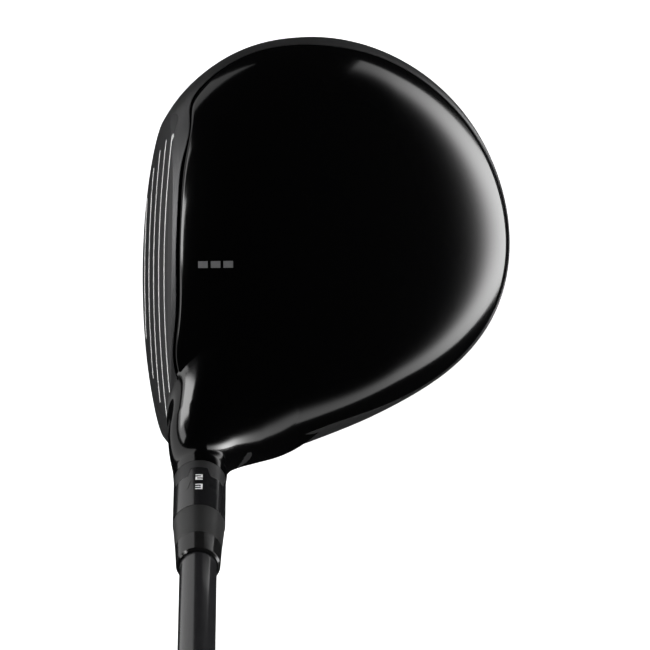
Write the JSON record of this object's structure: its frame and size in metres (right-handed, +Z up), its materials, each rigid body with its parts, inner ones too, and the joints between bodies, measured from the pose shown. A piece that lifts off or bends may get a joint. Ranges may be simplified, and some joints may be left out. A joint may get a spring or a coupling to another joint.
{
  "type": "adjustable fairway wood golf club",
  "caption": "Right-handed fairway wood with a gloss crown, scored face, adjustable hosel adapter, sole weight, tapered shaft and rubber grip.",
  "frame": {"origin": "middle of the flat pad the sole rests on, at ground level", "axes": "+Z up from the ground, -Y where the face points, +Y the back of the head, -X the toe, +X the heel and the player"},
  "size_m": [0.6855, 0.0876, 0.922],
  "materials": {
    "head_steel": "satin dark grey",
    "face_steel": "fine blasted dark grey",
    "line_paint": "matte pale grey paint",
    "crown_gloss": "high gloss black lacquer",
    "mark_grey": "satin grey print",
    "weight_steel": "brushed",
    "seal_rubber": "matte",
    "screw_steel": "turned",
    "spring_steel": "plain",
    "adapter_black": "gloss black anodised",
    "numeral_white": "matte white paint",
    "insert_metal": "machined",
    "ferrule_plastic": "polished black",
    "shaft_black": "painted graphite, satin gloss",
    "plug_plastic": "matte",
    "tape_fabric": "paper tape",
    "grip_rubber": "matte with fine ribs"
  },
  "bodies": {
    "club": {"adapter_sleeve": "adapter_black", "sleeve_numeral": "numeral_white", "sleeve_thread_insert": "insert_metal", "ferrule": "ferrule_plastic", "ferrule_trim": "ferrule_plastic", "shaft": "shaft_black", "tip_plug": "plug_plastic", "grip_tape": "tape_fabric", "grip": "grip_rubber", "grip_cap": "grip_rubber"},
    "ring": {"adapter_ring": "adapter_black", "ring_numeral": "numeral_white"},
    "head": {"head_casting": "head_steel", "face_insert": "face_steel", "score_line_paint": "line_paint", "crown_shell": "crown_gloss", "crown_mark": "mark_grey", "bolt_washer": "screw_steel", "bolt_clip": "spring_steel", "weight_gasket": "seal_rubber"},
    "bolt": {"hosel_bolt": "screw_steel"},
    "weight": {"sole_weight": "weight_steel"},
    "weight_screw": {"weight_screw": "screw_steel"}
  },
  "joints": [
    {"name": "ring_drop", "type": "slide", "parent": "club", "child": "ring", "axis": [-0.5446, 0, -0.8387], "range_m": [0, 0.0064]},
    {"name": "head_pull", "type": "slide", "parent": "ring", "child": "head", "axis": [-0.5446, 0, -0.8387], "range_m": [0, 0.03]},
    {"name": "bolt_turn", "type": "hinge", "parent": "head", "child": "bolt", "pos_m": [0.03045, -0.014, 0.00839], "axis": [0.5446, 0, 0.8387], "range_deg": [0, 2880]},
    {"name": "weight_out", "type": "slide", "parent": "head", "child": "weight", "axis": [0, 0.2079, -0.9781], "range_m": [0, 0.0056]},
    {"name": "screw_turn", "type": "hinge", "parent": "weight", "child": "weight_screw", "pos_m": [-0.003, 0.03938, 0.00468], "axis": [0, 0.2079, -0.9781], "range_deg": [0, 2880]}
  ],
  "couplings": [
    {"joint": "bolt_turn", "follows": "ring_drop", "rad_per_m": 7854},
    {"joint": "screw_turn", "follows": "weight_out", "rad_per_m": 8976}
  ]
}
